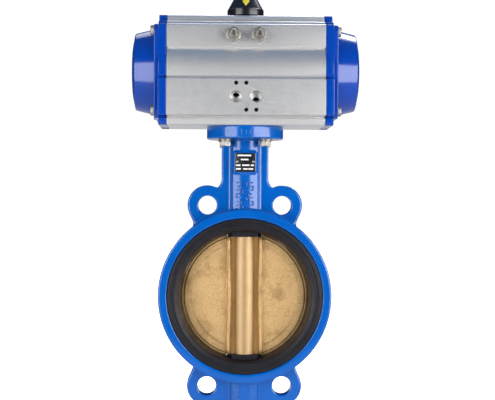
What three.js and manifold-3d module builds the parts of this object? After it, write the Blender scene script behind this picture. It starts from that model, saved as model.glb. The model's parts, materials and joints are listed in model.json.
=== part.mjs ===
// A double-acting rack-and-pinion rotary pneumatic actuator on the wafer butterfly valve that it turns.
// Millimetres. +Z is up the valve stem, +Y is along the pipe, and +X is along the actuator's cylinder.
// The origin is the centre of the valve's bore, where the stem's axis crosses the pipe's axis.
import * as THREE from "three";
import { mergeVertices } from "three/addons/utils/BufferGeometryUtils.js";
import Module from "manifold-3d";

const wasm = await Module();
wasm.setup();

// ---------- driving dimensions ----------

const GAP = 0.3; // running and seating clearance between neighbouring pieces
const SEAT = 0.1; // gap under a fastener's head
const PAST = 1; // how far a cutting tool runs past the surface that it cuts
const FINE = 48; // sides of the valve's large rounds
const BORE_SIDES = 36; // sides of the cylinder bore and of everything that slides in it
const MEDIUM = 24;
const SMALL = 16;
const TINY = 10;
const HEX = 6;

const valve = {
  ringRadius: 105.8,
  halfWidth: 27,
  boreRadius: 86,
  lipRadius: 94.8, // edge of the recess that the liner's lip lies in
  lipFloor: 22.4,
  lugRadius: 24.5,
  lugHalfWidth: 10,
  boltCircleRadius: 120,
  lugAngle: Math.PI / 8, // flange bolts straddle the stem's axis
  boltHoleRadius: 11.5,
  ear: { x: 63.3, bottom: 78, shoulder: 91, tangentX: 67.7, tangentZ: 99.8 },
  neckHalfWidth: 28.7,
  neckHalfDepth: 10,
  neckTop: 185.6,
  footBottom: -131,
  column: { bottom: -135, halfWidth: 16.4, throat: 18.8, front: 19, curve: 30 }, // curve: radius of its front
  stemBoreRadius: 13.1,
};
const topFlange = { radius: 47, bottom: 191.5, top: 207, boltCircleRadius: 35, holeRadius: 4.6 };
const plate = { halfWidth: 12.3, halfHeight: 11.5, z: 163, padFront: 20.4, thickness: 0.8 };
const rivet = { x: 10, z: 164, headRadius: 1.7, headHeight: 0.8, shankRadius: 0.9, holeRadius: 1.2 };
const liner = { seatRadius: 78.1, mouthRadius: 80, face: 28.5, lipEdge: 94.5, back: 85.7 };
liner.boss = { radius: 21, end: 81, halfDepth: 14 }; // round the stem
const flangeScrew = { radius: 4, across: 13, headHeight: 5.3, thread: 14 };
flangeScrew.spring = { radius: 6.6, height: 1.9 };
const flangeWasher = { inner: 4.2, outer: 8, thickness: 1.6 };
const plug = { headRadius: 15.4, headHeight: 3.7, socketRadius: 5.8, socketDepth: 7 };
const stem = { radius: 9.45, bottom: -125, shoulder: 206.4, top: 231, square: 14 };
const disc = {
  radius: 77.8,
  hubRadius: 13.5,
  hubEnd: 71.9,
  hubCutRadius: 21.3, // clears the liner's round bosses at every angle
  ridge: { x: 19.3, halfWidth: 2.2, front: 10.4 },
  valley: { x: 14.4, halfWidth: 2.7, floor: 6.4 },
};

const bore = { z: 274, radius: 52.5 };
const housing = { halfLength: 95, bottom: 207, top: 341, padFront: 61, upperPadFront: 55, skinRadius: 57.5 };
housing.skinEnd = 25.3; // above the bore's axis
housing.recess = { radius: 19.5, floor: 336.6 };
housing.lowerSeat = { radius: 21.3, depth: 25 }; // round seats of the pinion's bushes
housing.upperSeat = { radius: 17.3, depth: 25 };
const cap = { face: 95.3, plate: 105, boss: 110, corner: 135.6, apex: 140.2, wallEnd: 133 };
cap.skinEnd = Math.sqrt(housing.skinRadius ** 2 - housing.upperPadFront ** 2);
cap.rootRadius = 53.7;
cap.cornerRadius = 47.6;
cap.hollowRadius = 46.5;
cap.groove = { inner: 53.6, outer: 56.6, depth: 2.4, ringRadius: 55.1, ringSection: 1.1 };
const capScrew = { y: 40, z: 48, drop: 1.5, radius: 4, seat: 106.7, end: 79, holeEnd: 77 };
capScrew.headRadius = 6.5;
capScrew.headHeight = 7.8;
capScrew.socket = { radius: 3.46, depth: 4 };
const ports = { z: 240.3, x: 12, radius: 6.7, depth: 14, screwRise: 16, screwRadius: 2.1, screwDepth: 8 };
ports.passageRadius = 3;
ports.channel = { y: -48, z: 237.1, end: 91.5, radius: 2.5 }; // in the front wall, to both ends of the bore
const stop = { x: 15.3, z: 314, radius: 5, tip: -20.5, end: -75, nutAcross: 16, nutHeight: 7.8 };
stop.socket = { radius: 2.9, depth: 4 };
const accessory = { x: 40, y: 15, radius: 2.1, depth: 8 };

const gear = { teeth: 16, module: 2.5, pressure: (20 * Math.PI) / 180, bottom: 255, top: 293 };
gear.pitchRadius = (gear.teeth * gear.module) / 2;
gear.pitch = Math.PI * gear.module;
gear.tip = gear.pitchRadius + 2.3;
gear.root = gear.pitchRadius - 2.6;
gear.toothWidth = gear.pitch / 2 - 0.35; // at the pitch line, with backlash taken off
const rack = { tip: 2.0, root: 2.8, back: 42, halfHeight: 18, innerEnd: -40.4, firstTooth: -5, lastTooth: 1 };
const piston = { inner: 41, outer: 63, radius: 52.2, bandAt: [44, 50], ringAt: [54, 58.5] };
const pinion = { bottom: 207.6, journal: 18, seat: 16, seatTop: 320, topJournal: 12.7, stub: 9, top: 361 };
pinion.ringGroove = { rise: 2, height: 1.6, depth: 1 }; // for the snap ring, above the recess's floor
const cam = { bottom: 307, top: 317, radius: 27, hubRadius: 20, face: 20.2 };
const dial = { neck: 12.7, bottom: 343.1, rim: 351.2, top: 370, radius: 22.4, topRadius: 11.8 };
dial.neckBottom = housing.top + GAP;
dial.well = { radius: 5.8, depth: 4.5, holeRadius: 3.3 };
const marker = { z: 360.2, halfWidth: 4.4, halfHeight: 7, depth: 1.2, proud: 0.5 };
const dialScrew = { radius: 3, length: 12, headRadius: 5.2, headHeight: 3.4, slot: 1.4 };

// ---------- shape helpers ----------

const vector = (x, y, z) => new THREE.Vector3(x, y, z);

// Each frame maps a shape's own u, v and extrusion to world axes.
const FRAMES = {
  x: new THREE.Matrix4().makeBasis(vector(0, 1, 0), vector(0, 0, 1), vector(1, 0, 0)),
  y: new THREE.Matrix4().makeBasis(vector(1, 0, 0), vector(0, 0, 1), vector(0, -1, 0)),
  z: new THREE.Matrix4(),
};

function solidOf(geometry) {
  const bare = geometry.clone();
  bare.deleteAttribute("normal");
  bare.deleteAttribute("uv");
  const merged = mergeVertices(bare, 1e-3);
  return new wasm.Manifold(
    new wasm.Mesh({
      numProp: 3,
      vertProperties: merged.attributes.position.array,
      triVerts: new Uint32Array(merged.index.array),
    }),
  );
}

function geometryOf(solid) {
  const { vertProperties, triVerts } = solid.getMesh();
  const geometry = new THREE.BufferGeometry();
  geometry.setAttribute("position", new THREE.BufferAttribute(vertProperties, 3));
  geometry.setIndex(new THREE.BufferAttribute(triVerts, 1));
  const faceted = geometry.toNonIndexed();
  faceted.computeVertexNormals();
  return faceted;
}

const placed = (geometry, axis) => solidOf(geometry.applyMatrix4(FRAMES[axis]));

// A straight bar of a shape between two places on an axis.
function prism(shape, axis, from, to) {
  const depth = to - from;
  const geometry = new THREE.ExtrudeGeometry(shape, { depth, bevelEnabled: false, curveSegments: MEDIUM });
  return placed(geometry.translate(0, 0, axis === "y" ? -to : from), axis);
}

// A round bar between two places on an axis; at holds its centre on the other two axes, in X, Y, Z order.
function rod(radius, axis, from, to, at = [0, 0], sides = SMALL) {
  const geometry = new THREE.CylinderGeometry(radius, radius, to - from, sides).rotateX(Math.PI / 2);
  const middle = (from + to) / 2;
  return placed(geometry.translate(at[0], at[1], axis === "y" ? -middle : middle), axis);
}

// A turned piece: the profile's points are [radius, place on the axis], anticlockwise.
function turned(profile, axis, sides = SMALL, at = [0, 0]) {
  const points = profile.map(([radius, along]) => new THREE.Vector2(radius, along));
  const geometry = new THREE.LatheGeometry(points, sides).rotateX(Math.PI / 2);
  return placed(geometry.translate(at[0], at[1], 0), axis);
}

const closed = (profile) => [...profile, profile[0]];
const tube = (inner, outer, from, to) => closed([[inner, from], [outer, from], [outer, to], [inner, to]]);

function block(low, high) {
  const size = high.map((value, i) => value - low[i]);
  const geometry = new THREE.BoxGeometry(...size);
  return solidOf(geometry.translate(...high.map((value, i) => (value + low[i]) / 2)));
}

function polygon(points) {
  return new THREE.Shape(points.map(([u, v]) => new THREE.Vector2(u, v)));
}

// The outline whose corners in one quarter are given, from the u axis round to the v axis.
function fourfold(quarter) {
  const back = [...quarter].reverse();
  return polygon([
    ...quarter,
    ...back.map(([u, v]) => [-u, v]),
    ...quarter.map(([u, v]) => [-u, -v]),
    ...back.map(([u, v]) => [u, -v]),
  ]);
}

const join = (first, ...rest) => rest.reduce((whole, piece) => whole.add(piece), first);
const cut = (first, ...tools) => tools.reduce((whole, tool) => whole.subtract(tool), first);
const signs = [-1, 1];
const corners = signs.flatMap((a) => signs.map((b) => [a, b]));
const turnAroundZ = (geometry, angle) => geometry.applyMatrix4(new THREE.Matrix4().makeRotationZ(angle));

// ---------- materials ----------

function paint(color, roughness, metalness) {
  return new THREE.MeshStandardMaterial({ color, roughness, metalness });
}

const materials = {
  valveBlue: paint(0x0062c8, 0.3, 0),
  capBlue: paint(0x0040a0, 0.28, 0),
  anodised: paint(0xbfbfc0, 0.45, 0.9),
  castAluminium: paint(0xa9aaab, 0.6, 0.85),
  bronze: paint(0xc89b5c, 0.4, 0.9),
  stainless: paint(0xc4c2bd, 0.28, 1),
  plated: paint(0x9b9ca0, 0.35, 1),
  liner: paint(0x1e1d22, 0.6, 0),
  nitrile: paint(0x151515, 0.55, 0),
  blackPlastic: paint(0x17161d, 0.3, 0),
  yellowPlastic: paint(0xd2be37, 0.4, 0),
  bearingPlastic: paint(0xe3ddcb, 0.5, 0),
  labelBlack: paint(0x0b0b0d, 0.35, 0.2),
};

const assembly = new THREE.Group();

function add(name, solid, material) {
  const mesh = new THREE.Mesh(solid instanceof THREE.BufferGeometry ? solid : geometryOf(solid), material);
  mesh.name = name;
  assembly.add(mesh);
}

// ---------- valve ----------

const lugCentres = corners.map(([a, b]) => [
  a * valve.boltCircleRadius * Math.sin(valve.lugAngle),
  b * valve.boltCircleRadius * Math.cos(valve.lugAngle),
]);

function valveBody() {
  const { halfWidth, lipFloor, lipRadius, boreRadius, ringRadius, lugHalfWidth, stemBoreRadius } = valve;
  const ring = turned(
    closed([
      [boreRadius, -lipFloor],
      [lipRadius, -lipFloor],
      [lipRadius, -halfWidth],
      [ringRadius, -halfWidth],
      [ringRadius, halfWidth],
      [lipRadius, halfWidth],
      [lipRadius, lipFloor],
      [boreRadius, lipFloor],
    ]),
    "y",
    FINE,
  );
  const lugs = lugCentres.map((at) => rod(valve.lugRadius, "y", -lugHalfWidth, lugHalfWidth, at, MEDIUM));
  const { ear } = valve;
  const lugHeight = lugCentres[1][1];
  const earSide = [
    [ear.x, ear.bottom],
    [ear.x, ear.shoulder],
    [ear.tangentX, ear.tangentZ],
    [lugCentres[3][0], lugHeight],
  ];
  const mirrored = [...earSide].reverse().map(([x, z]) => [-x, z]);
  const earShape = (sign) => polygon([...earSide, ...mirrored].map(([x, z]) => [x, sign * z]));
  const ears = signs.map((sign) => prism(earShape(sign), "y", -lugHalfWidth, lugHalfWidth));
  const { neckHalfWidth, neckHalfDepth, neckTop, footBottom, column } = valve;
  const root = 90; // how far from the centre the neck and the foot start, inside the ring
  const neck = block([-neckHalfWidth, -neckHalfDepth, root], [neckHalfWidth, neckHalfDepth, neckTop]);
  const foot = block([-neckHalfWidth, -neckHalfDepth, footBottom], [neckHalfWidth, neckHalfDepth, -root]);
  const depthAt = (x) => column.front - column.curve + Math.sqrt(column.curve ** 2 - x ** 2);
  const across = (halfWidth) => [1, 0.75, 0.5, 0.25].map((share) => share * halfWidth);
  const section = (halfWidth) => fourfold(across(halfWidth).map((x) => [x, depthAt(x)]));
  const upperColumn = prism(section(column.halfWidth), "z", root, topFlange.bottom + PAST);
  const throat = prism(section(column.throat), "z", neckTop - PAST, topFlange.bottom + PAST);
  const lowerColumn = prism(section(column.halfWidth), "z", column.bottom, -root);
  const flange = rod(topFlange.radius, "z", topFlange.bottom, topFlange.top, [0, 0], FINE);
  const platePad = block(
    [-plate.halfWidth - 1.2, -plate.padFront, plate.z - plate.halfHeight - 1.6],
    [plate.halfWidth + 1.2, 0, plate.z + plate.halfHeight + 1.6],
  );
  const columns = join(upperColumn, throat, lowerColumn);
  const outside = join(ring, ...lugs, ...ears, neck, foot, columns, flange, platePad);
  const lugCut = lugHalfWidth + PAST;
  const { bottom, top, holeRadius } = topFlange;
  const stemHoleStart = 60;
  return cut(
    outside,
    rod(boreRadius, "y", -halfWidth - PAST, halfWidth + PAST, [0, 0], FINE),
    ...signs.map((sign) => {
      const ends = [sign * lipFloor, sign * (halfWidth + PAST)].sort((a, b) => a - b);
      return rod(lipRadius, "y", ends[0], ends[1], [0, 0], FINE);
    }),
    ...lugCentres.map((at) => rod(valve.boltHoleRadius, "y", -lugCut, lugCut, at, MEDIUM)),
    ...flangeBoltCentres.map((at) => rod(holeRadius, "z", bottom - PAST, top + PAST, at, TINY)),
    rod(stemBoreRadius, "z", stemHoleStart, top + PAST),
    rod(stemBoreRadius, "z", column.bottom - PAST, -stemHoleStart),
  );
}

const flangeBoltCentres = corners.map(([a, b]) => [
  a * topFlange.boltCircleRadius * Math.SQRT1_2,
  b * topFlange.boltCircleRadius * Math.SQRT1_2,
]);

function seatLiner() {
  const { seatRadius, mouthRadius, face, lipEdge, back, boss } = liner;
  const lipBack = valve.lipFloor + GAP;
  const shell = turned(
    closed([
      [seatRadius, -10],
      [mouthRadius, -face + 1.4],
      [mouthRadius + 1.6, -face],
      [lipEdge, -face],
      [lipEdge, -lipBack],
      [back, -lipBack],
      [back, lipBack],
      [lipEdge, lipBack],
      [lipEdge, face],
      [mouthRadius + 1.6, face],
      [mouthRadius, face - 1.4],
      [seatRadius, 10],
    ]),
    "y",
    FINE,
  );
  const bossFrom = disc.hubEnd + GAP;
  const bosses = signs.map((sign) => {
    const [low, high] = [sign * bossFrom, sign * boss.end].sort((a, b) => a - b);
    const { radius, halfDepth } = boss;
    const flats = block([-radius, -halfDepth, low - PAST], [radius, halfDepth, high + PAST]);
    return rod(radius, "z", low, high, [0, 0], MEDIUM).intersect(flats);
  });
  return cut(join(shell, ...bosses), rod(stem.radius + GAP, "z", -back - PAST, back + PAST));
}

function valveDisc() {
  const wings = turned(
    [
      [0, -8.6],
      [22, -8.6],
      [66, -3.6],
      [disc.radius, -1.5],
      [disc.radius, 1.5],
      [66, 3.6],
      [22, 8.6],
      [0, 8.6],
    ],
    "y",
    FINE,
  );
  const { ridge, valley, hubEnd, hubRadius, hubCutRadius, radius } = disc;
  const ridgeBar = (sign) => {
    const [low, high] = [sign * ridge.x - ridge.halfWidth, sign * ridge.x + ridge.halfWidth];
    return block([low, -ridge.front, -hubEnd], [high, ridge.front, hubEnd]);
  };
  const valleyBar = ([a, b]) => {
    const [near, far] = [b * valley.floor, b * (ridge.front + PAST)].sort((p, q) => p - q);
    const [left, right] = [a * valley.x - valley.halfWidth, a * valley.x + valley.halfWidth];
    return block([left, near, -radius], [right, far, radius]);
  };
  const grooved = cut(join(wings, ...signs.map(ridgeBar)), ...corners.map(valleyBar));
  const hub = rod(hubRadius, "z", -hubEnd, hubEnd, [0, 0], MEDIUM);
  const endCuts = signs.map((sign) => {
    const [low, high] = [sign * hubEnd, sign * (radius + PAST)].sort((a, b) => a - b);
    return rod(hubCutRadius, "z", low, high, [0, 0], MEDIUM);
  });
  return cut(join(grooved, hub), ...endCuts, rod(stem.radius + GAP, "z", -radius - PAST, radius + PAST));
}

function valveStem() {
  const shaft = turned(
    [
      [0, stem.bottom],
      [stem.radius - 1, stem.bottom],
      [stem.radius, stem.bottom + 1],
      [stem.radius, stem.shoulder],
      [0, stem.shoulder],
    ],
    "z",
  );
  const half = stem.square / 2;
  const square = block([-half, -half, stem.shoulder - PAST], [half, half, stem.top]);
  const roundedTop = rod(stem.radius, "z", stem.shoulder - PAST, stem.top);
  return join(shaft, square.intersect(roundedTop));
}

// A hexagon screw from below, with its spring washer captive under the head.
function flangeBolt(seat, end, at) {
  const { across, headHeight, spring, radius } = flangeScrew;
  const headTop = seat - spring.height;
  const head = rod(across / Math.sqrt(3), "z", headTop - headHeight, headTop, at, HEX);
  const springWasher = rod(spring.radius, "z", headTop - PAST, seat, at);
  return join(head, springWasher, rod(radius, "z", headTop - PAST, end, at, TINY));
}

function addValve() {
  add("valve_body", valveBody(), materials.valveBlue);
  add("seat_liner", seatLiner(), materials.liner);
  add("valve_disc", valveDisc(), materials.bronze);
  add("valve_stem", valveStem(), materials.stainless);
  const bushInner = stem.radius + GAP;
  const bushOuter = valve.stemBoreRadius - GAP;
  const bush = (from, to) => turned(tube(bushInner, bushOuter, from, to), "z");
  add("stem_upper_bush", bush(176, 199), materials.bearingPlastic);
  add("stem_inner_bush", bush(88, 112), materials.bearingPlastic);
  add("stem_lower_bush", bush(-112, -88), materials.bearingPlastic);
  add("stem_packing_ring", bush(168, 175.6), materials.nitrile);
  add("stem_retaining_ring", turned(tube(bushInner + 0.7, bushOuter, 199.6, 201.2), "z"), materials.plated);
  const plugTop = valve.column.bottom - GAP;
  const plugBottom = plugTop - plug.headHeight;
  const plugHead = rod(plug.headRadius, "z", plugBottom, plugTop);
  const plugBody = rod(bushOuter, "z", plugTop - PAST, stem.bottom - GAP);
  const socketTop = plugBottom + plug.socketDepth;
  const plugSocket = rod(plug.socketRadius, "z", plugBottom - PAST, socketTop, [0, 0], HEX);
  add("bottom_plug", cut(join(plugHead, plugBody), plugSocket), materials.plated);
  const plateBack = -plate.padFront - GAP;
  const plateFront = plateBack - plate.thickness;
  const rivetCentres = signs.map((sign) => [sign * rivet.x, rivet.z]);
  const rivetHole = (at) => rod(rivet.holeRadius, "y", plateFront - PAST, plateBack + PAST, at, TINY);
  const label = block(
    [-plate.halfWidth, plateFront, plate.z - plate.halfHeight],
    [plate.halfWidth, plateBack, plate.z + plate.halfHeight],
  );
  add("name_plate", cut(label, ...rivetCentres.map(rivetHole)), materials.labelBlack);
  rivetCentres.forEach((at, i) => {
    const headBack = plateFront - SEAT;
    const head = rod(rivet.headRadius, "y", headBack - rivet.headHeight, headBack, at, TINY);
    const shank = rod(rivet.shankRadius, "y", headBack - rivet.headHeight / 2, plateBack + SEAT, at, TINY);
    add(`name_plate_rivet_${i + 1}`, join(head, shank), materials.stainless);
  });
  flangeBoltCentres.forEach((at, i) => {
    const { inner, outer, thickness } = flangeWasher;
    const washerTop = topFlange.bottom - SEAT;
    const washerBottom = washerTop - thickness;
    const washer = turned(tube(inner, outer, washerBottom, washerTop), "z", SMALL, at);
    add(`flange_washer_${i + 1}`, washer, materials.stainless);
    const bolt = flangeBolt(washerBottom - SEAT, housing.bottom + flangeScrew.thread, at);
    add(`flange_bolt_${i + 1}`, bolt, materials.stainless);
  });
}

// ---------- actuator housing and end caps ----------

// A section for Y above 0, from the bottom up, as [Y, height above the bore's axis]. The curved skin ends at
// skinEnd: the housing has a step there, under its upper pad, and the caps' skin runs flush into the pad.
function sectionHalf(skinEnd) {
  const half = housing.top - bore.z;
  const skin = { from: -7.6, steps: 5 };
  const arc = [];
  for (let i = 0; i <= skin.steps; i++) {
    const height = skin.from + ((skinEnd - skin.from) * i) / skin.steps;
    arc.push([Math.sqrt(housing.skinRadius ** 2 - height ** 2), height]);
  }
  return [
    [49, -half],
    [50, -half + 1],
    [50, -58.8],
    [47.5, -58.6],
    [47.5, -56.6],
    [59.8, -56],
    [housing.padFront, -54.9],
    [housing.padFront, -12.8],
    [housing.padFront - 0.6, -12.2],
    [54.2, -12.1],
    ...arc,
    [housing.upperPadFront, skinEnd + 0.05],
    [housing.upperPadFront, 51.4],
    [53.4, 53],
    [45.4, 54.4],
    [45, 57],
    [31, 59.6],
    [30, 60.4],
    [30, half - 2.4],
    [27.5, half],
  ];
}

function fullSection(skinEnd) {
  const rightSide = sectionHalf(skinEnd).map(([y, height]) => [y, bore.z + height]);
  const leftSide = [...rightSide].reverse().map(([y, z]) => [-y, z]);
  return polygon([...rightSide, ...leftSide]);
}

const capScrewCentres = corners.map(([a, b]) => [a * capScrew.y, bore.z - capScrew.drop + b * capScrew.z]);

function actuatorHousing() {
  const { halfLength, bottom, top, padFront, recess, lowerSeat, upperSeat } = housing;
  const bothEnds = (radius, at, sides) =>
    signs.map((sign) => {
      const [low, high] = [sign * capScrew.holeEnd, sign * (halfLength + PAST)].sort((a, b) => a - b);
      return rod(radius, "x", low, high, at, sides);
    });
  const frontHole = (radius, x, z, depth, sides) =>
    rod(radius, "y", -padFront - PAST, -padFront + depth, [x, z], sides);
  const screwPlaces = [[-1, 1], [0, 1], [0, -1], [1, -1]];
  const portScrews = screwPlaces.map(([a, b]) => [a * ports.x, ports.z + b * ports.screwRise]);
  const { channel, passageRadius } = ports;
  const boreDepth = 30;
  const stopHole = (sign) =>
    rod(stop.radius + GAP, "y", -housing.upperPadFront - PAST, stop.tip + 0.5, [sign * stop.x, stop.z]);
  return cut(
    prism(fullSection(housing.skinEnd), "x", -halfLength, halfLength),
    rod(bore.radius, "x", -halfLength - PAST, halfLength + PAST, [0, bore.z], BORE_SIDES),
    rod(lowerSeat.radius, "z", bottom - PAST, bottom + lowerSeat.depth, [0, 0], MEDIUM),
    rod(upperSeat.radius, "z", top - upperSeat.depth, top + PAST, [0, 0], MEDIUM),
    rod(recess.radius, "z", recess.floor, top + PAST, [0, 0], MEDIUM),
    ...capScrewCentres.flatMap((at) => bothEnds(capScrew.radius + GAP, at, TINY)),
    ...signs.map((sign) => frontHole(ports.radius, sign * ports.x, ports.z, ports.depth, SMALL)),
    frontHole(passageRadius, -ports.x, ports.z + 2.6, boreDepth, TINY),
    frontHole(passageRadius, ports.x, channel.z, ports.depth + 2, TINY),
    rod(channel.radius, "x", -channel.end, channel.end, [channel.y, channel.z], TINY),
    ...signs.map((sign) => rod(2, "y", channel.y, -boreDepth, [sign * (channel.end - 2.5), channel.z], TINY)),
    ...portScrews.map(([x, z]) => frontHole(ports.screwRadius, x, z, ports.screwDepth, TINY)),
    ...signs.map(stopHole),
    ...flangeBoltCentres.map((at) =>
      rod(flangeScrew.radius + GAP, "z", bottom - PAST, bottom + flangeScrew.thread + 2, at, TINY),
    ),
    ...corners.map(([a, b]) =>
      rod(accessory.radius, "z", top - accessory.depth, top + PAST, [a * accessory.x, b * accessory.y], TINY),
    ),
  );
}

// The right-hand cap; the left-hand one is the same casting turned half round.
function endCap() {
  const bossShape = polygon([
    [-47, -59],
    [47, -59],
    [55, -51],
    [55, 46],
    [48, 53.3],
    [-48, 53.3],
    [-55, 46],
    [-55, -51],
  ].map(([y, height]) => [y, bore.z + height]));
  const dome = turned(
    [
      [0, cap.plate - PAST],
      [cap.rootRadius + 0.3, cap.plate - PAST],
      [cap.rootRadius, cap.boss],
      [cap.cornerRadius + 0.6, cap.corner - 2.4],
      [cap.cornerRadius - 1.6, cap.corner],
      [33, 138.2],
      [18, 139.8],
      [0, cap.apex],
    ],
    "x",
    BORE_SIDES,
    [0, bore.z],
  );
  const hollow = turned(
    [
      [0, cap.face - PAST],
      [cap.hollowRadius, cap.face - PAST],
      [cap.hollowRadius, cap.plate],
      [42, 127],
      [37, 131],
      [0, cap.wallEnd],
    ],
    "x",
    BORE_SIDES,
    [0, bore.z],
  );
  const flange = prism(fullSection(cap.skinEnd), "x", cap.face, cap.plate);
  const boss = prism(bossShape, "x", cap.plate - PAST, cap.boss);
  const { inner, outer, depth } = cap.groove;
  const bossEnd = cap.boss + PAST;
  return cut(
    join(flange, boss, dome),
    hollow,
    turned(tube(inner, outer, cap.face - PAST, cap.face + depth), "x", BORE_SIDES, [0, bore.z]),
    ...capScrewCentres.map((at) => rod(capScrew.radius + 0.5, "x", cap.face - PAST, bossEnd, at, TINY)),
    ...capScrewCentres.map((at) => rod(capScrew.headRadius + 0.6, "x", capScrew.seat, bossEnd, at)),
  );
}

function socketScrew(at) {
  const seat = capScrew.seat + 2 * SEAT;
  const headEnd = seat + capScrew.headHeight;
  const turnedBlank = turned(
    [
      [0, capScrew.end],
      [capScrew.radius, capScrew.end],
      [capScrew.radius, seat],
      [capScrew.headRadius, seat],
      [capScrew.headRadius, headEnd - 0.6],
      [capScrew.headRadius - 0.6, headEnd],
      [0, headEnd],
    ],
    "x",
    SMALL,
    at,
  );
  const { radius, depth } = capScrew.socket;
  return cut(turnedBlank, rod(radius, "x", headEnd - depth, headEnd + PAST, at, HEX));
}

function roundRing(centreRadius, sectionRadius, axisPlace) {
  const profile = [];
  for (let i = 0; i < HEX; i++) {
    const angle = (i * 2 * Math.PI) / HEX + Math.PI / HEX;
    const out = sectionRadius * Math.cos(angle);
    profile.push([centreRadius + out, axisPlace + sectionRadius * Math.sin(angle)]);
  }
  return turned(closed(profile), "x", BORE_SIDES, [0, bore.z]);
}

function addHousing() {
  add("actuator_housing", actuatorHousing(), materials.anodised);
  const sides = { right: 0, left: Math.PI };
  for (const [side, angle] of Object.entries(sides)) {
    const place = (solid) => turnAroundZ(geometryOf(solid), angle);
    const { ringRadius, ringSection } = cap.groove;
    add(`end_cap_${side}`, place(endCap()), materials.capBlue);
    const seal = roundRing(ringRadius, ringSection, cap.face + ringSection);
    add(`end_cap_oring_${side}`, place(seal), materials.nitrile);
    capScrewCentres.forEach((at, i) => {
      add(`end_cap_screw_${side}_${i + 1}`, place(socketScrew(at)), materials.stainless);
    });
  }
  signs.forEach((sign, i) => {
    const at = [sign * stop.x, stop.z];
    const screw = rod(stop.radius, "y", stop.end, stop.tip, at);
    const socket = rod(stop.socket.radius, "y", stop.end - PAST, stop.end + stop.socket.depth, at, HEX);
    add(`travel_stop_screw_${i + 1}`, cut(screw, socket), materials.stainless);
    const nutBack = -housing.upperPadFront - SEAT;
    const nut = rod(stop.nutAcross / Math.sqrt(3), "y", nutBack - stop.nutHeight, nutBack, at, HEX);
    const nutHole = rod(stop.radius + GAP, "y", nutBack - stop.nutHeight - PAST, nutBack + PAST, at);
    add(`travel_stop_nut_${i + 1}`, cut(nut, nutHole), materials.stainless);
  });
  const { bottom, recess, lowerSeat, upperSeat } = housing;
  const lowerBush = tube(pinion.journal + GAP, lowerSeat.radius - GAP, bottom + 1.4, bottom + 8.6);
  const upperBush = tube(pinion.topJournal + GAP, upperSeat.radius - GAP, 330, recess.floor - GAP);
  add("pinion_lower_bush", turned(lowerBush, "z", MEDIUM), materials.bearingPlastic);
  add("pinion_upper_bush", turned(upperBush, "z", MEDIUM), materials.bearingPlastic);
}

// ---------- rack, pinion and pistons ----------

const involute = (angle) => Math.tan(angle) - angle;

// One flank's points as [radius, half the tooth's angle there], from the root to the tip.
function flank() {
  const base = gear.pitchRadius * Math.cos(gear.pressure);
  const atPitch = gear.toothWidth / 2 / gear.pitchRadius;
  const halfAngle = (radius) => atPitch + involute(gear.pressure) - involute(Math.acos(base / radius));
  const points = [base, 20, 21.3, gear.tip].map((radius) => [radius, halfAngle(radius)]);
  return [[gear.root, halfAngle(base)], ...points];
}

function gearOutline() {
  const points = [];
  for (let tooth = 0; tooth < gear.teeth; tooth++) {
    const centre = Math.PI / 2 + (tooth * 2 * Math.PI) / gear.teeth;
    const rising = flank().map(([radius, half]) => [radius, centre - half]);
    const falling = flank().reverse().map(([radius, half]) => [radius, centre + half]);
    for (const [radius, angle] of [...rising, ...falling]) {
      points.push([radius * Math.cos(angle), radius * Math.sin(angle)]);
    }
  }
  return polygon(points);
}

function pinionShaft() {
  const { bottom, journal, seatTop, seat, topJournal, stub, top, ringGroove } = pinion;
  const grooveAt = housing.recess.floor + ringGroove.rise;
  const grooveTop = grooveAt + ringGroove.height;
  const shaft = turned(
    [
      [0, bottom],
      [journal, bottom],
      [journal, gear.bottom],
      [gear.root - 0.6, gear.bottom],
      [gear.root - 0.6, gear.top],
      [seat, gear.top],
      [seat, seatTop],
      [topJournal, seatTop],
      [topJournal, grooveAt],
      [topJournal - ringGroove.depth, grooveAt],
      [topJournal - ringGroove.depth, grooveTop],
      [topJournal, grooveTop],
      [topJournal, housing.top],
      [stub, housing.top],
      [stub, top],
      [0, top],
    ],
    "z",
    MEDIUM,
  );
  const half = stem.square / 2 + GAP;
  return cut(
    join(shaft, prism(gearOutline(), "z", gear.bottom, gear.top)),
    block([-half, -half, bottom - PAST], [half, half, stem.top + 1.5]),
    rod(dialScrew.radius + GAP, "z", top - dialScrew.length - 2, top + PAST, [0, 0], TINY),
  );
}

// A ring with a raised sector, whose two flat ends meet the stop screws' tips at the ends of the turn.
function travelCam() {
  const { face, radius, hubRadius, bottom, top } = cam;
  const reach = Math.sqrt(radius ** 2 - face ** 2);
  const sector = new THREE.Shape();
  sector.moveTo(0, 0);
  sector.lineTo(0, -face);
  sector.lineTo(reach, -face);
  sector.absarc(0, 0, radius, Math.atan2(-face, reach), Math.atan2(reach, -face), false);
  sector.lineTo(-face, 0);
  sector.closePath();
  const ring = rod(hubRadius, "z", bottom, top, [0, 0], MEDIUM);
  const opening = rod(pinion.seat + GAP, "z", bottom - PAST, top + PAST, [0, 0], MEDIUM);
  return cut(join(prism(sector, "z", bottom, top), ring), opening);
}

function rackOutline() {
  const { pitchRadius, pitch, toothWidth, pressure } = gear;
  const tipHalf = toothWidth / 2 - rack.tip * Math.tan(pressure);
  const rootHalf = toothWidth / 2 + rack.root * Math.tan(pressure);
  const tipY = -pitchRadius + rack.tip;
  const rootY = -pitchRadius - rack.root;
  const points = [[rack.innerEnd, -rack.back], [rack.innerEnd, rootY]];
  for (let tooth = rack.firstTooth; tooth <= rack.lastTooth; tooth++) {
    const centre = (tooth + 0.5) * pitch;
    points.push([centre - rootHalf, rootY], [centre - tipHalf, tipY]);
    points.push([centre + tipHalf, tipY], [centre + rootHalf, rootY]);
  }
  points.push([piston.inner + PAST, rootY], [piston.inner + PAST, -rack.back]);
  return polygon(points.reverse());
}

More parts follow.
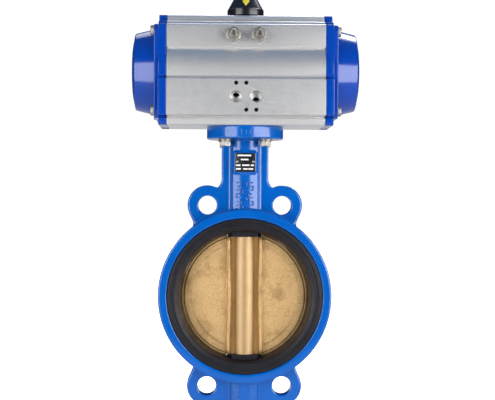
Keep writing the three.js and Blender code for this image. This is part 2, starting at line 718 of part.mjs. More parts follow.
// The right-hand piston, which drives the -Y side of the pinion; the left-hand one is turned half round.
function pistonCasting() {
  const { inner, outer, radius, bandAt, ringAt } = piston;
  const bandFloor = radius - 1.7;
  const ringFloor = radius - 2.5;
  const head = turned(
    [
      [0, inner],
      [radius, inner],
      [radius, bandAt[0]],
      [bandFloor, bandAt[0]],
      [bandFloor, bandAt[1]],
      [radius, bandAt[1]],
      [radius, ringAt[0]],
      [ringFloor, ringAt[0]],
      [ringFloor, ringAt[1]],
      [radius, ringAt[1]],
      [radius, outer],
      [36, outer],
      [34, outer - 9],
      [0, outer - 9],
    ],
    "x",
    BORE_SIDES,
    [0, bore.z],
  );
  return join(head, prism(rackOutline(), "z", bore.z - rack.halfHeight, bore.z + rack.halfHeight));
}

function rackGuide() {
  const blank = block([-36, -60, bore.z - 10], [-14, -rack.back - GAP, bore.z + 10]);
  return blank.intersect(rod(piston.radius, "x", -40, 0, [0, bore.z], BORE_SIDES));
}

function addPistons() {
  const { radius, bandAt, ringAt } = piston;
  const bandSection = tube(radius - 1.4, radius + SEAT, bandAt[0] + 0.2, bandAt[1] - 0.2);
  const band = turned(bandSection, "x", BORE_SIDES, [0, bore.z]);
  const seal = turned(
    closed([
      [radius - 2.2, ringAt[0] + 0.8],
      [radius - 0.4, ringAt[0] + 0.4],
      [radius + 0.1, (ringAt[0] + ringAt[1]) / 2],
      [radius - 0.4, ringAt[1] - 0.4],
      [radius - 2.2, ringAt[1] - 0.8],
    ]),
    "x",
    BORE_SIDES,
    [0, bore.z],
  );
  const sides = { right: 0, left: Math.PI };
  for (const [side, angle] of Object.entries(sides)) {
    const place = (solid) => turnAroundZ(geometryOf(solid), angle);
    add(`piston_${side}`, place(pistonCasting()), materials.castAluminium);
    add(`piston_guide_band_${side}`, place(band), materials.bearingPlastic);
    add(`piston_oring_${side}`, place(seal), materials.nitrile);
    add(`rack_guide_${side}`, place(rackGuide()), materials.bearingPlastic);
  }
}

// ---------- drive train and indicator ----------

function indicatorCone() {
  const { well } = dial;
  const body = turned(
    [
      [0, dial.neckBottom],
      [dial.neck, dial.neckBottom],
      [dial.neck, dial.bottom],
      [dial.radius, dial.bottom],
      [dial.radius, dial.rim],
      [dial.topRadius, dial.top],
      [0, dial.top],
    ],
    "z",
    MEDIUM,
  );
  return cut(
    body,
    rod(pinion.stub + GAP, "z", dial.neckBottom - PAST, pinion.top + GAP),
    rod(well.holeRadius, "z", pinion.top - PAST, dial.top + PAST, [0, 0], TINY),
    rod(well.radius, "z", dial.top - well.depth, dial.top + PAST),
    ...signs.map((sign) => markerBlank(sign, marker.depth + GAP, GAP)),
  );
}

// A diamond that lies on the cone's slope, facing -Y or +Y; depth is how far it goes under the surface.
function markerBlank(sign, depth, margin) {
  const half = { width: marker.halfWidth + margin, height: marker.halfHeight + margin };
  const shape = polygon([[0, -half.height], [half.width, 0], [0, half.height], [-half.width, 0]]);
  const fall = (dial.radius - dial.topRadius) / (dial.top - dial.rim);
  const proud = margin ? PAST : marker.proud;
  const surface = (dial.radius - fall * (marker.z - dial.rim)) * Math.cos(Math.PI / MEDIUM);
  const geometry = new THREE.ExtrudeGeometry(shape, { depth: depth + proud, bevelEnabled: false });
  geometry.translate(0, 0, -depth);
  geometry.rotateX(Math.PI / 2 - Math.atan(fall));
  geometry.translate(0, -surface, marker.z);
  if (sign > 0) geometry.rotateZ(Math.PI);
  return solidOf(geometry);
}

function addDriveTrain() {
  add("pinion", pinionShaft(), materials.plated);
  add("travel_cam", travelCam(), materials.plated);
  const sealRing = (inner, outer, at) => turned(tube(inner, outer, at, at + 2.2), "z", MEDIUM);
  add("pinion_lower_oring", sealRing(pinion.journal + 0.2, 20.8, housing.bottom + 9.6), materials.nitrile);
  add("pinion_upper_oring", sealRing(pinion.topJournal + 0.2, 16.8, 327.3), materials.nitrile);
  const { floor } = housing.recess;
  const { rise, height, depth } = pinion.ringGroove;
  const washer = tube(pinion.topJournal + GAP, housing.recess.radius - 0.7, floor + GAP, floor + rise - GAP);
  const ring = tube(pinion.topJournal - depth + GAP, 15.6, floor + rise + 0.2, floor + rise + height - 0.2);
  add("pinion_thrust_washer", turned(washer, "z", MEDIUM), materials.bearingPlastic);
  add("pinion_snap_ring", turned(ring, "z", MEDIUM), materials.plated);
  add("position_indicator", indicatorCone(), materials.blackPlastic);
  signs.forEach((sign, i) => {
    add(`indicator_marker_${i + 1}`, markerBlank(sign, marker.depth, 0), materials.yellowPlastic);
  });
  const { radius, length, headRadius, headHeight, slot } = dialScrew;
  const headBottom = dial.top - dial.well.depth + 2 * SEAT;
  const headTop = headBottom + headHeight;
  const bottom = pinion.top - length;
  const screw = turned(
    [
      [0, bottom],
      [radius, bottom],
      [radius, headBottom],
      [headRadius, headBottom],
      [headRadius, headTop],
      [0, headTop],
    ],
    "z",
  );
  const slotEnd = headRadius + PAST;
  const slotTool = block([-slotEnd, -slot / 2, headTop - slot], [slotEnd, slot / 2, headTop + PAST]);
  add("indicator_screw", cut(screw, slotTool), materials.stainless);
}

addValve();
addHousing();
addPistons();
addDriveTrain();

export default assembly;
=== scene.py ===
"""Looks for the pneumatic actuator on its butterfly valve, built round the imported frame.

Shapes are in millimetres and are scaled to metres as each mesh is made. +Z is up the stem, and -Y is the side
with the air ports.
"""
import json
import math
import bpy
import bmesh
import numpy as np
from mathutils import Matrix, Vector


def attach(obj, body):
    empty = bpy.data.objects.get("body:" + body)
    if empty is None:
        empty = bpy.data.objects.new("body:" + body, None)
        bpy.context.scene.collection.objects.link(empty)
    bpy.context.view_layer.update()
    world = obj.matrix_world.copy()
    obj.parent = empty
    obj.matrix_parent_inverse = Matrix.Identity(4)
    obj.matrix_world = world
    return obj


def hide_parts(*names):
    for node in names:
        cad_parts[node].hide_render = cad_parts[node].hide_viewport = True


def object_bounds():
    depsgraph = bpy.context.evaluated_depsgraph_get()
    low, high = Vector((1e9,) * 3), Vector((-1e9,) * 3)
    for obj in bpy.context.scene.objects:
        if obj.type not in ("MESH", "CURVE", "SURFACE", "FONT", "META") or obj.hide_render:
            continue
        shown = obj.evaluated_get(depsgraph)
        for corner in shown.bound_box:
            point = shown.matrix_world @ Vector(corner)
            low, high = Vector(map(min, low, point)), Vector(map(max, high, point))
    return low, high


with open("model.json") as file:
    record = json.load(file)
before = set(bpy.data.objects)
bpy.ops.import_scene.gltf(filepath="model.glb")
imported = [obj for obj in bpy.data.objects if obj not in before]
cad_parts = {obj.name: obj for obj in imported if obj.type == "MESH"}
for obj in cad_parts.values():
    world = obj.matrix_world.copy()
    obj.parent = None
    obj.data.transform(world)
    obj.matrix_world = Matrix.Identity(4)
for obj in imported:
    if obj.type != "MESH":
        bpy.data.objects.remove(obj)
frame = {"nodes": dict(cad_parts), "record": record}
CAD_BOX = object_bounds()
NODES = frame["nodes"]
RECORD = frame["record"]
MM = 0.001


# ---------- 2-D outlines, in millimetres ----------

def rounded(corners, step=9.0, closed=True):
    """An outline from (u, v, radius) corners, each made an arc with a point every step degrees."""
    out = []
    count = len(corners)
    for i, corner in enumerate(corners):
        here = Vector(corner[:2])
        radius = corner[2] if len(corner) > 2 else 0
        if radius <= 0 or (not closed and i in (0, count - 1)):
            out.append(tuple(here))
            continue
        back = Vector(corners[i - 1][:2]) - here
        on = Vector(corners[(i + 1) % count][:2]) - here
        half = back.angle(on) / 2
        if half > math.radians(89):
            out.append(tuple(here))
            continue
        reach = min(radius / math.tan(half), 0.49 * back.length, 0.49 * on.length)
        radius = reach * math.tan(half)
        start, end = here + back.normalized() * reach, here + on.normalized() * reach
        centre = here + (back.normalized() + on.normalized()).normalized() * (radius / math.sin(half))
        a, b = start - centre, end - centre
        sweep = a.angle(b)
        turn = 1 if a.cross(b) > 0 else -1
        pieces = max(1, round(math.degrees(sweep) / step))
        for k in range(pieces + 1):
            angle = turn * sweep * k / pieces
            c, s = math.cos(angle), math.sin(angle)
            out.append((centre.x + a.x * c - a.y * s, centre.y + a.x * s + a.y * c))
    return out


def inset(outline, distance):
    """The anticlockwise outline moved inwards by distance, corner by corner."""
    points = np.array(outline)
    ahead, behind = np.roll(points, -1, 0) - points, points - np.roll(points, 1, 0)
    normals = []
    for edge in (ahead, behind):
        length = np.maximum(np.linalg.norm(edge, axis=1, keepdims=True), 1e-9)
        normals.append(np.stack([-edge[:, 1], edge[:, 0]], 1) / length)
    both = normals[0] + normals[1]
    scale = 2 / np.maximum((both ** 2).sum(1, keepdims=True), 1.2)
    return [tuple(p) for p in points + both * scale * distance]


def arc(radius, start, end, step=4.0, at=(0, 0)):
    """Points from one angle to another, in degrees."""
    pieces = max(1, round(abs(end - start) / step))
    angles = [math.radians(start + (end - start) * k / pieces) for k in range(pieces + 1)]
    return [(at[0] + radius * math.cos(a), at[1] + radius * math.sin(a)) for a in angles]


def signed_area(outline):
    points = np.array([p[:2] for p in outline])
    following = np.roll(points, -1, 0)
    return ((points[:, 0] * following[:, 1] - points[:, 1] * following[:, 0]).sum()) / 2


# ---------- meshes ----------

TO_WORLD = {
    "x": lambda u, v, t: (t, u, v),
    "y": lambda u, v, t: (u, t, v),
    "z": lambda u, v, t: (u, v, t),
}


def mesh_from(vertices, faces):
    """A closed mesh that faces outwards, in metres, as a bmesh."""
    bm = bmesh.new()
    made = [bm.verts.new(Vector(v) * MM) for v in vertices]
    for face in faces:
        bm.faces.new([made[i] for i in face])
    bmesh.ops.remove_doubles(bm, verts=bm.verts, dist=1e-7)
    bmesh.ops.recalc_face_normals(bm, faces=bm.faces)
    return bm


def rings_mesh(rings, closed_loop=False):
    """Skins rings of equal length, with a face at each end unless closed_loop. One point makes a pole."""
    vertices, faces, starts = [], [], []
    for ring in rings:
        starts.append(len(vertices))
        vertices.extend(ring)
    pairs = list(zip(range(len(rings) - 1), range(1, len(rings))))
    if closed_loop:
        pairs.append((len(rings) - 1, 0))
    for a, b in pairs:
        na, nb = len(rings[a]), len(rings[b])
        for i in range(max(na, nb)):
            j = (i + 1) % max(na, nb)
            corners = []
            for ring, n, k in ((a, na, i), (a, na, j), (b, nb, j), (b, nb, i)):
                index = starts[ring] + (k if n > 1 else 0)
                if index not in corners:
                    corners.append(index)
            faces.append(corners)
    if not closed_loop:
        for which in (0, -1):
            if len(rings[which]) > 1:
                faces.append([starts[which] + i for i in range(len(rings[which]))])
    return mesh_from(vertices, faces)


def prism(outline, axis, low, high, round_low=0.0, round_high=0.0, steps=3):
    """A bar of an outline along an axis, with rounded ends."""
    if signed_area(outline) < 0:
        outline = outline[::-1]
    stations = []
    for end, inwards, radius in ((low, 1, round_low), (high, -1, round_high)):
        turns = [math.radians(90 * k / steps) for k in range(steps + 1)] if radius else [0]
        edge = [(end + inwards * radius * (1 - math.sin(a)), radius * (1 - math.cos(a))) for a in turns]
        stations += edge[::-1] if inwards > 0 else edge
    place = TO_WORLD[axis]
    rings = [[place(u, v, t) for u, v in (inset(outline, d) if d else outline)] for t, d in stations]
    return rings_mesh(rings)


def hex_radius(across, angle):
    """How far a hexagon's side is from its centre in a direction; its corners point along v."""
    from_flat = min(angle % 60, 60 - angle % 60)
    return across / 2 / math.cos(math.radians(from_flat))


def turned(profile, axis, sides=96, at=(0, 0), ring=False):
    """A turned piece from (radius, place) points. A radius can be a function of the angle in degrees."""
    place = TO_WORLD[axis]
    rings = []
    for radius, t in profile:
        if not callable(radius) and radius <= 0:
            rings.append([place(at[0], at[1], t)])
            continue
        loop = []
        for k in range(sides):
            degrees = 360 * k / sides
            r = radius(degrees) if callable(radius) else radius
            height = t(degrees) if callable(t) else t
            a = math.radians(degrees)
            loop.append(place(at[0] + r * math.cos(a), at[1] + r * math.sin(a), height))
        rings.append(loop)
    return rings_mesh(rings, closed_loop=ring)


def joined(*parts):
    """Several bmeshes as one, each still its own closed shell."""
    first = parts[0]
    for part in parts[1:]:
        holder = bpy.data.meshes.new("holder")
        part.to_mesh(holder)
        part.free()
        first.from_mesh(holder)
        bpy.data.meshes.remove(holder)
    return first


def object_of(bm, name):
    mesh = bpy.data.meshes.new(name)
    bm.to_mesh(mesh)
    bm.free()
    made = bpy.data.objects.new(name, mesh)
    bpy.context.scene.collection.objects.link(made)
    return made


def settle(obj):
    """Applies the object's modifiers to its mesh."""
    bpy.context.view_layer.update()
    evaluated = obj.evaluated_get(bpy.context.evaluated_depsgraph_get())
    mesh = bpy.data.meshes.new_from_object(evaluated)
    old = obj.data
    obj.modifiers.clear()
    obj.data = mesh
    bpy.data.meshes.remove(old)
    return obj


def combine(obj, tools, operation):
    """A boolean of obj with each tool, which is used up. New faces keep a material that obj holds too."""
    for tool in tools:
        other = object_of(tool, "tool") if isinstance(tool, bmesh.types.BMesh) else tool
        step = obj.modifiers.new("step", "BOOLEAN")
        step.operation, step.solver, step.object = operation, "MANIFOLD", other
        settle(obj)
        bpy.data.objects.remove(other)
    return obj


def piece(source, name, body, material, replaces=(), smooth=32):
    """Finishes a visible piece: its shading, material, body and the CAD nodes it stands for."""
    obj = object_of(source, name) if isinstance(source, bmesh.types.BMesh) else source
    obj.name = name
    if not obj.data.materials:
        obj.data.materials.append(material)
    for index, held in enumerate(obj.data.materials):
        if held is None:
            obj.data.materials[index] = material
    obj.data.shade_smooth()
    obj.data.set_sharp_from_angle(angle=math.radians(smooth))
    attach(obj, body)
    if replaces:
        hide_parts(*replaces)
    return obj


# ---------- materials ----------

class Surface:
    """A Principled material with short calls for the procedural parts."""

    def __init__(self, name, color, roughness, metallic=0.0, **fixed):
        self.material = bpy.data.materials.new(name)
        self.material.use_nodes = True
        self.tree = self.material.node_tree
        self.shader = self.tree.nodes["Principled BSDF"]
        self.color = tuple(color) + (1.0,)
        self.set("Base Color", self.color)
        self.set("Roughness", roughness)
        self.set("Metallic", metallic)
        for key, value in fixed.items():
            self.set(key.replace("_", " ").title().replace("Ior", "IOR"), value)
        self.coords = self.tree.nodes.new("ShaderNodeTexCoord").outputs["Object"]

    def set(self, socket, value):
        self.shader.inputs[socket].default_value = value

    def noise(self, size_mm, detail=3.0, stretch=(1, 1, 1), rough=0.5):
        mapping = self.tree.nodes.new("ShaderNodeMapping")
        mapping.inputs["Scale"].default_value = [1000 / size_mm * s for s in stretch]
        self.tree.links.new(self.coords, mapping.inputs["Vector"])
        node = self.tree.nodes.new("ShaderNodeTexNoise")
        node.inputs["Scale"].default_value = 1.0
        node.inputs["Detail"].default_value = detail
        node.inputs["Roughness"].default_value = rough
        self.tree.links.new(mapping.outputs["Vector"], node.inputs["Vector"])
        return node.outputs["Fac"]

    def spread(self, source, low, high, start=0.3, end=0.7):
        node = self.tree.nodes.new("ShaderNodeMapRange")
        for key, value in (("From Min", start), ("From Max", end), ("To Min", low), ("To Max", high)):
            node.inputs[key].default_value = value
        self.tree.links.new(source, node.inputs["Value"])
        return node.outputs["Result"]

    def mix(self, factor, first, second):
        node = self.tree.nodes.new("ShaderNodeMix")
        node.data_type = "RGBA"
        for socket, value in ((node.inputs[6], first), (node.inputs[7], second)):
            if isinstance(value, bpy.types.NodeSocket):
                self.tree.links.new(value, socket)
            else:
                socket.default_value = tuple(value) + (1.0,)
        self.tree.links.new(factor, node.inputs["Factor"])
        return node.outputs[2]

    def link(self, source, socket):
        self.tree.links.new(source, self.shader.inputs[socket])

    def bump(self, *layers):
        """layers are (height source, depth in mm)."""
        last = None
        for source, depth in layers:
            node = self.tree.nodes.new("ShaderNodeBump")
            node.inputs["Distance"].default_value = depth * MM
            node.inputs["Strength"].default_value = 1.0
            self.tree.links.new(source, node.inputs["Height"])
            if last:
                self.tree.links.new(last, node.inputs["Normal"])
            last = node.outputs["Normal"]
        self.link(last, "Normal")


def enamel(name, color, deep, grain, lumps):
    s = Surface(name, color, 0.16, coat_weight=0.35, coat_roughness=0.05, specular_ior_level=0.4)
    s.link(s.mix(s.spread(s.noise(38, 3), 0, 1), color, deep), "Base Color")
    s.link(s.spread(s.noise(14, 4), 0.13, 0.24), "Roughness")
    s.bump((s.noise(grain, 2), lumps), (s.noise(grain * 6, 2), lumps * 2.5))
    return s.material


def metal(name, color, dark, roughness, grain, depth, stretch=(1, 1, 1), metallic=1.0, tone_size=30):
    s = Surface(name, color, roughness, metallic)
    tone = s.mix(s.spread(s.noise(tone_size, 4), 0, 1), color, dark)
    s.link(tone, "Base Color")
    s.link(s.spread(s.noise(grain * 3, 3, stretch), roughness * 0.8, roughness * 1.25), "Roughness")
    s.bump((s.noise(grain, 3, stretch), depth))
    return s.material


def anodised_shell():
    light, dark = (0.85, 0.845, 0.835), (0.74, 0.735, 0.73)
    s = Surface("bead_blasted_anodised", light, 0.4, 0.95)
    speckle = s.mix(s.spread(s.noise(1.5, 3, rough=0.7), 0, 1), light, dark)
    s.link(s.mix(s.spread(s.noise(42, 3), 0, 0.35), speckle, dark), "Base Color")
    s.link(s.spread(s.noise(2.2, 2), 0.34, 0.41), "Roughness")
    s.bump((s.noise(0.9, 2), 0.03), (s.noise(5, 2), 0.03))
    return s.material


def bronze(name, gold, pale, brown, metallic, rough_low, rough_high, pits):
    s = Surface(name, gold, (rough_low + rough_high) / 2, metallic)
    grain = s.mix(s.spread(s.noise(2.4, 5, rough=0.7), 0, 1, 0.38, 0.62), gold, pale)
    cloudy = s.mix(s.spread(s.noise(19, 6, rough=0.7), 0, 0.5, 0.46, 0.62), grain, pale)
    stained = s.mix(s.spread(s.noise(27, 7, rough=0.78), 0, 0.8, 0.5, 0.66), cloudy, brown)
    s.link(stained, "Base Color")
    s.link(s.spread(s.noise(9, 4), rough_low, rough_high), "Roughness")
    s.bump((s.noise(1.6, 4, rough=0.65), pits), (s.noise(12, 3), pits * 2.5))
    return s.material


def rubber(name, color, grain):
    s = Surface(name, color, 0.45, specular_ior_level=0.22)
    s.link(s.mix(s.spread(s.noise(20, 3), 0, 1), color, [c * 1.6 for c in color]), "Base Color")
    s.link(s.spread(s.noise(6, 3), 0.38, 0.52), "Roughness")
    s.bump((s.noise(grain, 3), 0.03))
    return s.material


def plastic(name, color, roughness, grain=2.0):
    s = Surface(name, color, roughness)
    s.link(s.mix(s.spread(s.noise(15, 3), 0, 1), color, [c * 0.85 for c in color]), "Base Color")
    s.link(s.spread(s.noise(8, 3), roughness * 0.8, roughness * 1.3), "Roughness")
    s.bump((s.noise(grain, 2), 0.012))
    return s.material


LOOKS = {
    "valve_paint": enamel("valve_enamel", (0.0, 0.084, 0.37), (0.0, 0.073, 0.325), 2.6, 0.03),
    "cap_paint": enamel("cap_enamel", (0.0, 0.040, 0.30), (0.0, 0.035, 0.275), 1.8, 0.006),
    "anodised": anodised_shell(),
    "cast_aluminium": metal("cast_aluminium", (0.62, 0.62, 0.63), (0.5, 0.5, 0.51), 0.5, 1.5, 0.05),
    "bronze": bronze("cast_bronze", (0.475, 0.30, 0.126), (0.60, 0.40, 0.19), (0.31, 0.185, 0.073),
                     0.85, 0.46, 0.58, 0.15),
    "stainless": metal("stainless", (0.43, 0.42, 0.405), (0.34, 0.33, 0.32), 0.42, 1.2, 0.01, (1, 1, 3)),
    "plated": metal("nickel_plate", (0.60, 0.59, 0.57), (0.5, 0.5, 0.49), 0.3, 1.2, 0.01, (1, 1, 3)),
    "liner_rubber": rubber("liner_rubber", (0.0065, 0.006, 0.0085), 1.4),
    "nitrile": rubber("nitrile", (0.012, 0.012, 0.012), 1.0),
    "black_plastic": plastic("black_moulding", (0.010, 0.0095, 0.014), 0.22),
    "yellow_plastic": plastic("yellow_insert", (0.62, 0.50, 0.035), 0.35),
    "bearing_plastic": plastic("acetal", (0.76, 0.72, 0.60), 0.45),
    "label_black": plastic("black_anodised_plate", (0.006, 0.006, 0.007), 0.3),
}
TURNED_BRONZE = bronze("turned_bronze", (0.40, 0.265, 0.135), (0.43, 0.29, 0.15), (0.36, 0.235, 0.11),
                       0.85, 0.50, 0.58, 0.02)
BRIGHT_CUT = metal("machined_cut", (0.62, 0.62, 0.61), (0.52, 0.52, 0.51), 0.55, 0.8, 0.01, (1, 6, 1))
WORN_STEEL = metal("worn_steel", (0.30, 0.285, 0.26), (0.21, 0.20, 0.185), 0.5, 1.2, 0.02)
# Painted shade: a dark metal put inside the ports' passages and the tapped M5 holes, standing in for the
# shade deep in them.
HOLE_SHADE = metal("painted_hole_shade", (0.13, 0.13, 0.13), (0.08, 0.08, 0.08), 0.5, 0.8, 0.01)
# Painted shade: a darker brown bronze for the grooves beside the hub, standing in for the shade that falls in
# them.
GROOVE_SHADE = metal("painted_groove_shade", (0.40, 0.235, 0.085), (0.30, 0.165, 0.055), 0.55, 1.6, 0.05,
               metallic=0.7)
PLATE_PRINT = metal("plate_print", (0.86, 0.86, 0.84), (0.74, 0.74, 0.73), 0.5, 0.8, 0.01, metallic=0.3)

for sub in RECORD["subparts"]:
    data = NODES[sub["node"]].data
    data.materials.clear()
    data.materials.append(LOOKS[sub["material_slot"]])


# ---------- actuator housing ----------

BORE_Z = 274.0
BORE_RADIUS = 52.5
HALF_LENGTH = 95.0
SKIN_RADIUS = 57.5
HOUSING_SKIN_END = 25.3
CAP_SKIN_END = 16.77
FLANGE_BOLTS = [(x * 24.75, y * 24.75) for x in (-1, 1) for y in (-1, 1)]
CAP_SCREWS = [(y * 40, BORE_Z - 1.5 + h * 48) for y in (-1, 1) for h in (-1, 1)]
STOP_SCREWS = [(-15.3, 314), (15.3, 314)]
TOP_SCREWS = [(x, y) for x in (-40, 40) for y in (-15, 15)]


def section_half(skin_end):
    """A section for Y above 0, from the bottom up, as (Y, height over the bore's axis, corner radius). The
    curved skin ends at skin_end: the housing has a step there, and the caps' skin runs flush into the pad."""
    skin = [(math.sqrt(SKIN_RADIUS ** 2 - h * h), h) for h in np.linspace(-7.6, skin_end, 18)]
    foot = [(46.9, -67, 0.7), (47.9, -66, 0.5), (50, -58.8, 0.5), (47.5, -58.6, 0.3), (47.5, -56.6, 0.3)]
    lower_pad = [(59.8, -56, 0.5), (61, -54.9, 0.7), (61, -12.8, 0.5), (60.4, -12.2, 0.3), (54.2, -12.1, 0.5)]
    upper_pad = [(55, skin_end + 0.05, 0.5), (55, 51.4, 0.7), (53.4, 53, 0.7)]
    rail = [(45.4, 54.4, 0.4), (45, 57, 0.5), (31, 59.6, 0.4)]
    deck = [(30, 60.4, 0.4), (30, 64.6, 0.8), (27.5, 67, 0.8)]
    return foot + lower_pad + skin + upper_pad + rail + deck


def full_section(skin_end):
    half = [(y, BORE_Z + h, *rest) for y, h, *rest in section_half(skin_end)]
    return rounded(half + [(-y, z, *rest) for y, z, *rest in reversed(half)], step=15)


def front_hole(x, z, radius, depth, face=61.0, chamfer=0.6, sides=40, look=BRIGHT_CUT):
    """A cutter for a drilled hole in the front, with a chamfered mouth."""
    y = -face
    profile = [(0, y - 1), (radius + chamfer + 1, y - 1), (radius + chamfer, y), (radius, y + chamfer),
               (radius, y + depth - 0.4 * radius), (0, y + depth)]
    cutter = object_of(turned(profile, "y", sides, (x, z)), "cutter")
    cutter.data.materials.append(look)
    return cutter


def make_housing():
    profile = full_section(HOUSING_SKIN_END)
    shell = object_of(prism(profile, "x", -HALF_LENGTH, HALF_LENGTH, 0.5, 0.5, 1), "actuator_shell")
    for look in (LOOKS["anodised"], BRIGHT_CUT, HOLE_SHADE):
        shell.data.materials.append(look)
    bore = turned([(0, -100), (BORE_RADIUS, -100), (BORE_RADIUS, 100), (0, 100)], "x", 144, (0, BORE_Z))
    lower_seat = turned([(0, 200), (21.3, 200), (21.3, 232), (0, 232)], "z", 64)
    upper_seat = turned([(0, 316), (17.3, 316), (17.3, 336.6), (19.5, 336.6), (19.5, 345), (0, 345)], "z", 64)
    combine(shell, [bore, lower_seat, upper_seat], "DIFFERENCE")
    holes = [front_hole(x, 240.3, 6.6, 14, chamfer=0.9, sides=64) for x in (-12, 12)]
    # The passages and the M5 holes take the dark painted-shade metal, which stands in for the shade inside
    # them.
    passages = ((-12, 243.2, 3.3, 16), (12, 237.1, 3.2, 14))
    holes += [front_hole(*passage, face=48, chamfer=0, look=HOLE_SHADE) for passage in passages]
    tapped = ((-12, 256.3), (0, 256.3), (0, 224.3), (12, 224.3))
    holes += [front_hole(x, z, 2.3, 9, chamfer=0.15, sides=28, look=HOLE_SHADE) for x, z in tapped]
    holes += [front_hole(*at, 5.3, 30, 55, 0.5) for at in STOP_SCREWS]
    tapped_top = [(0, 333), (2.1, 334), (2.1, 340.6), (2.6, 341.1), (2.6, 343), (0, 343)]
    for at in TOP_SCREWS:
        tool = object_of(turned(tapped_top, "z", 24, at), "cutter")
        tool.data.materials.append(BRIGHT_CUT)
        holes.append(tool)
    holes += [turned([(0, 206), (4.3, 206), (4.3, 222), (0, 223)], "z", 24, at) for at in FLANGE_BOLTS]
    combine(shell, holes, "DIFFERENCE")
    piece(shell, "actuator_shell", "housing", LOOKS["anodised"], ["actuator_housing"], 28)


# ---------- end caps ----------

def make_cap(side, sign):
    """The cap's plate carries the housing's section; a raised pad and a tapered dome stand on it."""
    span = lambda a, b: (a, b) if sign > 0 else (-b, -a)
    ends = lambda inner, outer: (inner, outer) if sign > 0 else (outer, inner)
    pad = rounded([(y, BORE_Z + h, 3.0) for y, h in (
        (-47, -59), (47, -59), (55, -51), (55, 46), (48, 53.3), (-48, 53.3), (-55, 46), (-55, -51))], step=12)
    upper = ((-55.02, 17), (55.02, 17), (55.02, 46), (48, 53.3), (-48, 53.3), (-55.02, 46))
    front = rounded([(y, BORE_Z + h, 2.5 if h > 17 else 0) for y, h in upper], step=12)
    plate = object_of(prism(full_section(CAP_SKIN_END), "x", *span(95.3, 105), *ends(0.4, 0.6), 3), "cap")
    raised = prism(pad, "x", *span(104, 110), *ends(0, 0.9), 4)
    flush = prism(front, "x", *span(97, 110), *ends(0, 0.9), 4)
    dome = [(0, 100), (53.4, 100), (53.1, 110, 0), (47.0, 134.6, 2.6), (33, 137.5, 20), (0, 139.4)]
    dome = rounded(dome, 6, False)
    hollow = [(0, 94), (46.5, 94), (46.5, 104), (42, 127), (37, 131), (0, 133)]
    mirrored = lambda profile: [(r, sign * t) for r, t in profile]
    combine(plate, [raised, flush, turned(mirrored(dome), "x", 160, (0, BORE_Z))], "UNION")
    groove = [(53.6, 94), (56.6, 94), (56.6, 97.7), (53.6, 97.7)]
    combine(plate, [turned(mirrored(hollow), "x", 96, (0, BORE_Z)),
                    turned(mirrored(groove), "x", 96, (0, BORE_Z), ring=True)], "DIFFERENCE")
    pocket = mirrored([(0, 90), (4.5, 90), (4.5, 106.7), (7.1, 106.7), (7.5, 113), (0, 113)])
    combine(plate, [turned(pocket, "x", 40, at) for at in CAP_SCREWS], "DIFFERENCE")
    piece(plate, f"cap_{side}", "housing", LOOKS["cap_paint"], [f"end_cap_{side}"], 30)


# ---------- fasteners ----------

def socket_screw(sign, at):
    """An M8 socket head cap screw along X, with a knurled head."""
    seat, head, top = 106.9, 6.5, 114.7
    knurl = lambda degrees: head - 0.09 - 0.09 * math.cos(math.radians(degrees * 36))
    socket = lambda degrees: hex_radius(6.0, degrees)
    shank = [(0, 79), (3.3, 79), (4, 80), (4, seat)]
    rim = [(head - 0.6, seat), (knurl, seat + 0.6), (knurl, top - 1.0), (head - 0.35, top - 0.5)]
    recess = [(head - 1.0, top), (3.9, top), (socket, top - 0.35), (socket, top - 4), (0, top - 5)]
    profile = shank + rim + recess
    return turned([(r, sign * t) for r, t in profile], "x", 144, at)


def hex_head(low, high, across, at, axis="z", bore=0.0, chamfer_low=True, chamfer_high=True):
    """A hexagon with its corners chamfered, solid or with a bore."""
    outer = lambda degrees: hex_radius(across, degrees)
    crown = across / 2 * 0.97
    fall = lambda degrees: (hex_radius(across, degrees) - crown) * math.tan(math.radians(28))
    profile = [(bore, low), (crown, low)] if chamfer_low else [(bore, low), (outer, low)]
    if chamfer_low:
        profile.append((outer, lambda degrees: low + fall(degrees)))
    profile.append((outer, (lambda degrees: high - fall(degrees)) if chamfer_high else high))
    if chamfer_high:
        profile.append((crown, high))
    profile.append((bore, high))
    return turned(profile, axis, 72, at, ring=bore > 0)


